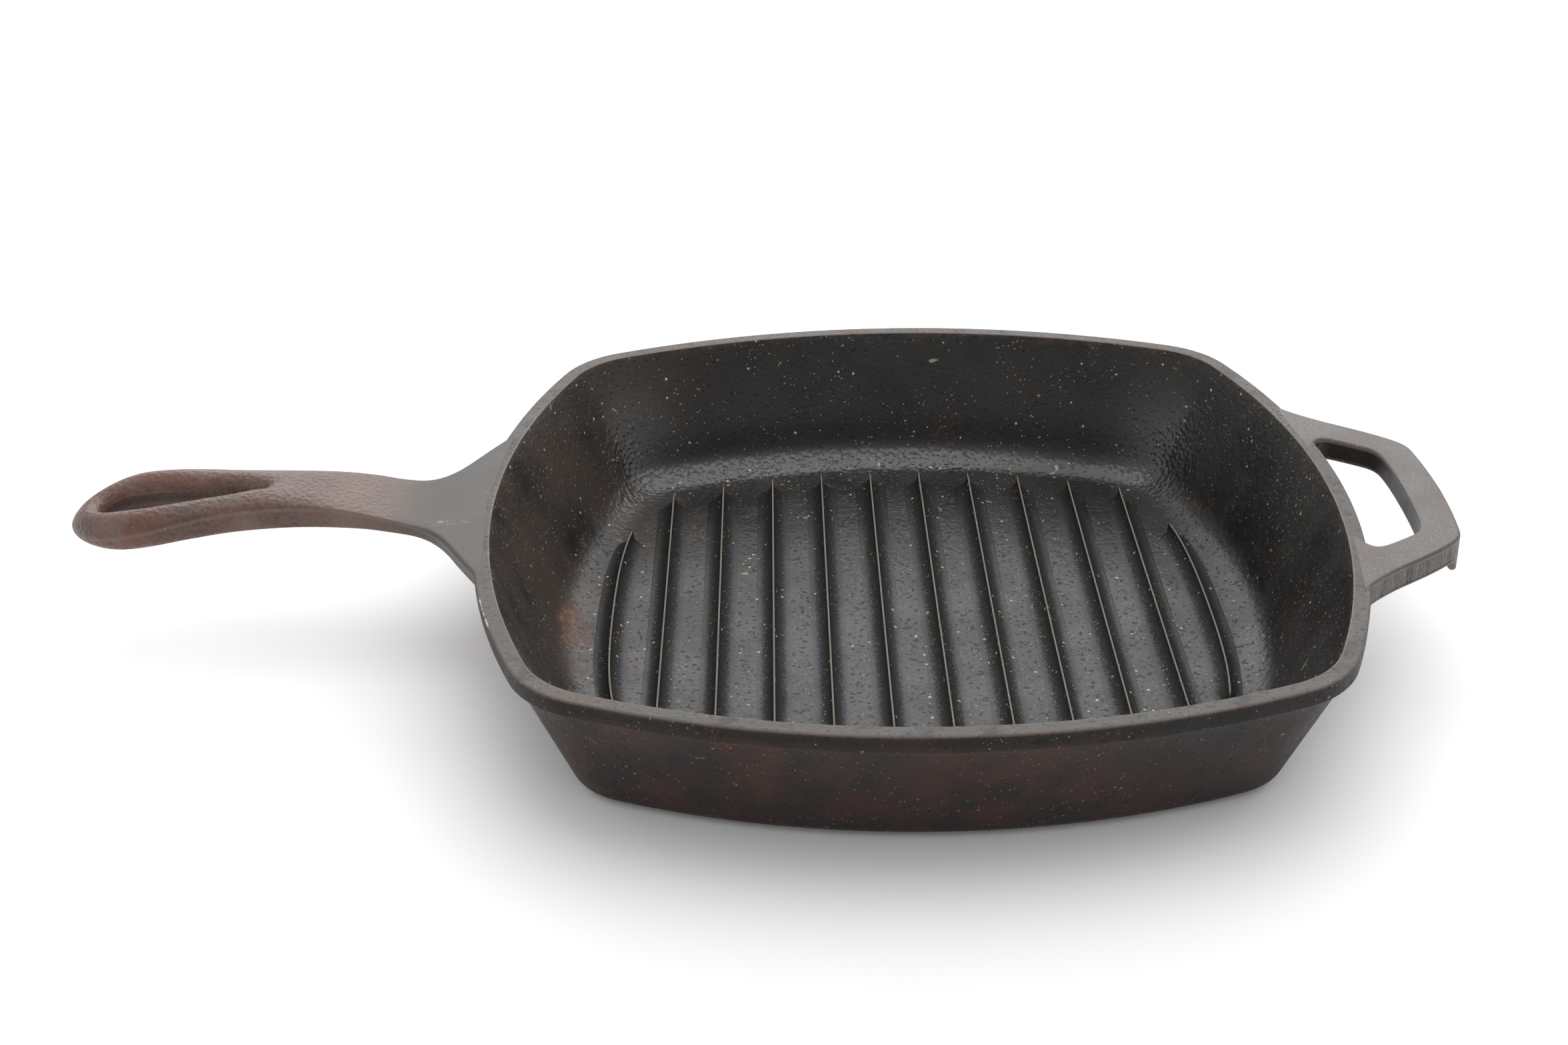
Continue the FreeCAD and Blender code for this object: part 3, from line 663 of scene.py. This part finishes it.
under_knots = mm * np.array([
    -5.0, -5.0, -4.8, -4.2, -3.6, -2.7, -2.3, -2.2, -2.3, -2.6, -3.1, -4.0, -5.6, -7.0, -7.4, -7.2, -6.6])
roll_knots = mm * np.array([1.5, 1.5, 1.7, 2.4, 5, 7.5, 9, 9.5, 9.5, 9.5, 9, 8, 7, 6.2, 5.8, 5.4, 5.2])
keel_knots = mm * np.array([1.2, 1.2, 1.3, 1.5, 1.8, 2, 2, 2, 2, 2, 2.2, 2.8, 4, 5.2, 6, 6, 6])


def handle_rows(plan, kept_knots):
    """A height over the rim, or another number, along the handle at points of its plan."""
    return through(np.clip(plan[..., 0], reach_knots[0], reach_knots[-1]), reach_knots, kept_knots)


plan = strip(outer, inner)
from_outer = distance_to(plan, outer)
from_hole = distance_to(plan, hole_edge)
parting = handle_rows(plan, parting_knots)
roll = np.clip(1 - from_outer / handle_rows(plan, roll_knots), 0, 1)
rise = handle_rows(plan, top_knots) - parting - FLASH
lip_roll = np.clip(1 - from_hole / (6.2 * mm), 0, 1)
top_z = parting + FLASH + rise * np.sqrt(1 - roll**2.4) - 4.6 * mm * (1 - np.sqrt(1 - lip_roll**2.2))
keel_roll = np.clip(1 - from_outer / handle_rows(plan, keel_knots), 0, 1)
depth = parting - FLASH - handle_rows(plan, under_knots)
lip_roll = np.clip(1 - from_hole / (2 * mm), 0, 1)
under_z = parting - FLASH - depth * np.sqrt(1 - keel_roll**2.6) + 1.2 * mm * (1 - np.sqrt(1 - lip_roll**2))
place = plan * [-1, 1]
top = np.concatenate([place, RIM_TOP + top_z[..., None]], axis=-1)
under = np.concatenate([place, RIM_TOP + under_z[..., None]], axis=-1)[::-1]

# The wall of the hanging hole, with a ragged ledge at mid-depth where the halves of the mould met.
wall_share = np.linspace(0, 1, 20)[1:-1, None, None]
wall = top[-1:] * (1 - wall_share) + under[:1] * wall_share
ragged = np.sin(stations * 2.7) + 0.8 * np.sin(stations * 1.3 + 1) + 0.6 * np.sin(stations * 5.1 + 2)
ragged = np.abs(ragged)
ledge = np.exp(-(((wall_share[..., 0] - 0.5) / 0.09) ** 2)) * (0.45 + 0.35 * ragged) * mm
toward = inner - outer
toward = toward / np.linalg.norm(toward, axis=1)[:, None] * (~solid)[:, None]
wall[..., :2] = wall[..., :2] + ledge[..., None] * (toward * [-1, 1])[None]
wall[..., 1] = np.maximum(wall[..., 1], 0) * (~solid)[None]
handle_grid = np.concatenate([top, wall, under])
between = np.arange(len(handle_grid))
wall_cells = (between >= len(top) - 1) & (between < len(top) + len(wall))
skip = wall_cells[:, None] & solid[:-1][None, :]
seam = np.zeros(handle_grid.shape[:2])
seam[[0, -1]] = 1
in_hole = np.zeros(handle_grid.shape[:2])
in_hole[len(top):len(top) + len(wall)] = 1
handle_masks = {"seam": seam, "in_hole": in_hole}

HANDLE_DARK = (0.062, 0.028, 0.0195, 1)
HANDLE_BROWN = (0.145, 0.09, 0.07, 1)
HANDLE_RED = (0.108, 0.034, 0.021, 1)
HOLE_SHADE = (0.022, 0.013, 0.01, 1)
WEB_GREY = (0.062, 0.058, 0.054, 1)
WEB_PALE = (0.078, 0.071, 0.065, 1)
SEAM_PALE = (0.3, 0.24, 0.2, 1)
STAIN_TAN = (0.3, 0.21, 0.09, 1)
STAIN = (-0.142, -0.0135)
handle_iron, tree, shader = new_iron("handle_iron", 0.45)
skin = use_group(tree, "cast_skin", Grain=0.0007)
rust = use_group(tree, "rust_bloom", Where=step(tree, point_mask(tree, "in_hole"), 0, 1, 0.12, 0.5))
dust = use_group(tree, "kitchen_dust", Cell=0.0024, Density=0.1)
split = use_group(tree, "rubbed_edge", Edge=point_mask(tree, "seam"), Breaks=0.6)["Mask"]
reach = add(tree, "SeparateXYZ", {"Vector": object_place(tree)}).outputs
grip = step(tree, reach["X"], -0.17, -0.145, 1.0, 0.0)
ruddy = step(tree, reach["X"], -0.25, -0.19, 1.0, 0.25)
ruddy = times(tree, ruddy, step(tree, skin["Waves"], 0.35, 0.65))
patina = blend(tree, skin["Mottle"], HANDLE_DARK, HANDLE_BROWN)
patina = coat(tree, patina, HANDLE_BROWN, skin["Peel"], 0.4)
patina = coat(tree, patina, HANDLE_RED, ruddy, 0.8)
# Painted shade: the walls of the hanging hole are darkened, more where the mottle is high.
hollow = times(tree, point_mask(tree, "in_hole"), step(tree, skin["Mottle"], 0.1, 0.9, 0.35, 0.7))
patina = blend(tree, hollow, patina, HOLE_SHADE)
web = blend(tree, skin["Mottle"], WEB_GREY, WEB_PALE)
colour = blend(tree, grip, web, patina)
colour = coat(tree, colour, rust["Tint"], rust["Mask"], 0.6)
colour = coat(tree, colour, SEAM_PALE, split, 0.14)
along = calc(tree, "ABSOLUTE", calc(tree, "SUBTRACT", reach["X"], STAIN[0]))
astray = calc(tree, "ABSOLUTE", calc(tree, "SUBTRACT", reach["Y"], STAIN[1]))
streak = step(tree, along, 0.004, 0.0085, 1.0, 0.0)
streak = times(tree, streak, step(tree, astray, 0.0004, 0.0018, 1.0, 0.0))
flecked = step(tree, noise(tree, object_place(tree), 330.0, 4.0), 0.42, 0.62)
colour = blend(tree, times(tree, streak, flecked), colour, STAIN_TAN)
colour = coat(tree, colour, dust["Tint"], dust["Mask"], 0.45)
gloss = plus(tree, step(tree, grip, 0, 1, 0.5, 0.38), times(tree, skin["Mottle"], 0.07))
relief = times(tree, skin["Fine"], step(tree, grip, 0, 1, 0.06, 0.16))
relief = plus(tree, relief, times(tree, skin["Peel"], step(tree, grip, 0, 1, 0.02, 0.17)))
relief = plus(tree, relief, times(tree, skin["Waves"], 0.25))
bump = add(tree, "Bump", {"Height": relief, "Distance": 1 * mm})
feed(tree, shader, {"Base Color": colour, "Roughness": gloss, "Normal": bump.outputs[0]})

long_handle = two_halves("long_handle", handle_grid, handle_masks, skip, handle_iron)
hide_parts("handle_web", "handle_grip")
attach(long_handle, "root")

# ---- Helper handle ----
# Cast with the pan, flush with its rim: a flat loop whose legs lean together to a wide outer bar, with a
# turned-down lip under the bar. Its ends run into the rim band, and its edges are ground.

HELPER_DEEP = RIM_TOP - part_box("helper_handle")[0].z
LIP_DEEP = RIM_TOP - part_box("helper_lip")[0].z
LIP_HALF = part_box("helper_lip")[1].y
loop_outer = mm * np.array([
    (162.2, 0), (162.0, 8), (161.6, 16), (161.0, 23), (160.5, 27.4), (159.7, 30.2), (157.9, 33.1),
    (154.3, 36.8), (148.4, 41.6), (142.6, 45.8), (137, 49.8), (132.8, 53.2), (129.4, 56.2),
    (126.6, 59.2), (124.2, 62.4)])
loop_inner = mm * np.array([
    (150.9, 0), (150.8, 8), (150.5, 16), (149.9, 22), (149.3, 24.6), (148.4, 26.6), (146.8, 28.4),
    (144.4, 30.2), (141.2, 32.4), (138.4, 34.2), (135.8, 35.6), (133.4, 35.8), (131.6, 34.2),
    (130, 31.4), (128.4, 28)])
stations = np.arange(0, 12 * (len(loop_outer) - 1) + 1)
outer = edge_curve(loop_outer, stations, 12)
inner = edge_curve(loop_inner, stations, 12)
plan = strip(outer, inner)
from_outer = distance_to(plan, outer)
from_window = distance_to(plan, inner)
shoulder = np.clip(1 - np.minimum(from_outer, from_window) / (0.9 * mm), 0, 1)
top_z = 0.02 * mm - 0.9 * mm * (1 - np.sqrt(1 - shoulder**2))
lip_run = np.clip((4.6 * mm - from_outer) / (3.4 * mm), 0, 1)
lip_end = np.clip((LIP_HALF + 5 * mm - np.abs(plan[..., 1])) / (4.5 * mm), 0, 1)
ease = (lip_run**2 * (3 - 2 * lip_run)) * (lip_end**2 * (3 - 2 * lip_end))
under_z = -HELPER_DEEP - (LIP_DEEP - HELPER_DEEP) * ease + 0.9 * mm * (1 - np.sqrt(1 - shoulder**2))
top = np.concatenate([plan, RIM_TOP + top_z[..., None]], axis=-1)
under = np.concatenate([plan, RIM_TOP + under_z[..., None]], axis=-1)[::-1]
share = np.linspace(0, 1, 10)[1:-1, None, None]
window_wall = top[-1:] * (1 - share) + under[:1] * share
outer_wall = under[-1:] * (1 - share) + top[:1] * share
helper_grid = np.concatenate([top, window_wall, under, outer_wall])
edges = np.zeros(helper_grid.shape[:2])
edges[[0, len(top) - 1]] = 1
window = np.zeros(helper_grid.shape[:2])
window[len(top):len(top) + len(share)] = 1
side = np.zeros(helper_grid.shape[:2])
side[-len(share):] = 1
skip = np.zeros((len(helper_grid), len(stations) - 1), bool)

HELPER_GREY = (0.05, 0.044, 0.04, 1)
HELPER_BROWN = (0.088, 0.07, 0.06, 1)
WINDOW_SHADE = (0.0085, 0.0078, 0.0074, 1)
GROOVE_DARK = (0.014, 0.011, 0.009, 1)
helper_iron, tree, shader = new_iron("helper_iron", 0.5)
skin = use_group(tree, "cast_skin", Grain=0.0007)
ground = point_mask(tree, "side")
rust = use_group(tree, "rust_bloom", Where=step(tree, ground, 0, 1, 0.0, 0.25))
dust = use_group(tree, "kitchen_dust", Cell=0.0024, Density=0.08)
worn = use_group(tree, "rubbed_edge", Edge=point_mask(tree, "shoulder"), Breaks=0.55)["Mask"]
stretched = add(tree, "Mapping", {"Vector": object_place(tree), "Scale": (1.0, 1.0, 0.05)}).outputs[0]
grooves = noise(tree, stretched, 430.0, 3.0, 0.55)
colour = blend(tree, skin["Mottle"], HELPER_GREY, HELPER_BROWN)
colour = coat(tree, colour, GROOVE_DARK, ground, step(tree, grooves, 0.5, 0.64))
colour = coat(tree, colour, rust["Tint"], rust["Mask"], 0.5)
speckle = step(tree, noise(tree, object_place(tree), 1300.0, 2.0), 0.5, 0.7)
colour = coat(tree, colour, BARE_EDGE, speckle, 0.5)
# Painted shade: the walls of the window between the legs are darkened almost to black.
colour = coat(tree, colour, WINDOW_SHADE, point_mask(tree, "window"), 0.88)
colour = coat(tree, colour, BARE_EDGE, worn, 0.5)
colour = coat(tree, colour, dust["Tint"], dust["Mask"], 0.4)
gloss = step(tree, skin["Mottle"], 0, 1, 0.42, 0.52)
relief = plus(tree, times(tree, skin["Fine"], 0.09), times(tree, skin["Waves"], 0.15))
relief = plus(tree, relief, times(tree, times(tree, grooves, ground), -0.9))
bump = add(tree, "Bump", {"Height": relief, "Distance": 1 * mm})
feed(tree, shader, {"Base Color": colour, "Roughness": gloss, "Normal": bump.outputs[0]})

helper_masks = {"side": side, "window": window, "shoulder": edges}
helper_loop = two_halves("helper_loop", helper_grid, helper_masks, skip, helper_iron)
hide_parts("helper_handle", "helper_lip")
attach(helper_loop, "root")

# ---- Floor, light and camera ----
# A plain pale floor, a soft box overhead and a wide, low one behind the pan that its level faces mirror.

FLOOR_WIDTH = 60
FLOOR_WHITE = (0.96, 0.96, 0.96, 1)
WORLD_STRENGTH = 0.82
CAMERA_PLACE = (-40.26 * mm, -598.08 * mm, RIM_TOP + 308.18 * mm)
CAMERA_HEADING = 0.0114
CAMERA_DIP = 0.458
CAMERA_ROLL = -0.0198

bpy.ops.mesh.primitive_plane_add(size=FLOOR_WIDTH, location=(0, 0, 0))
floor = bpy.context.object
floor.name = "floor"
pale = bpy.data.materials.new("pale_floor")
pale.use_nodes = True
shader = pale.node_tree.nodes["Principled BSDF"]
feed(pale.node_tree, shader, {"Base Color": FLOOR_WHITE, "Roughness": 0.9})
floor.data.materials.append(pale)


def soft_light(name, place, aim, size, power):
    """A rectangular area light at a place, turned to its aim."""
    lamp = bpy.data.lights.new(name, "AREA")
    lamp.shape = "RECTANGLE"
    lamp.size, lamp.size_y = size
    lamp.energy = power
    holder = bpy.data.objects.new(name, lamp)
    holder.location = place
    holder.rotation_mode = "QUATERNION"
    holder.rotation_quaternion = (Vector(place) - Vector(aim)).to_track_quat("Z", "Y")
    bpy.context.scene.collection.objects.link(holder)


soft_light("top_box", (0.3, 0.4, 1.9), (0, 0.1, 0), (2.4, 2.2), 20)
soft_light("back_box", (0.1, 2.4, 1.25), (0, 0.3, 0), (3.2, 1.6), 36)

world = bpy.data.worlds.new("studio")
world.use_nodes = True
sky = world.node_tree.nodes["Background"]
feed(world.node_tree, sky, {"Color": (1, 1, 1, 1), "Strength": WORLD_STRENGTH})
bpy.context.scene.world = world
bpy.context.scene.view_settings.view_transform = "Standard"

camera_data = bpy.data.cameras.new("camera")
camera_data.lens = 50.209
camera_data.sensor_width = 36
camera_data.shift_x = 0.01696
camera_data.shift_y = -0.0404
camera = bpy.data.objects.new("camera", camera_data)
camera.location = CAMERA_PLACE
heading = Matrix.Rotation(CAMERA_HEADING, 3, "Z")
tilt = Matrix.Rotation(radians(90) - CAMERA_DIP, 3, "X")
roll = Matrix.Rotation(CAMERA_ROLL, 3, "Z")
camera.rotation_euler = (heading @ tilt @ roll).to_euler()
bpy.context.scene.collection.objects.link(camera)
bpy.context.scene.camera = camera
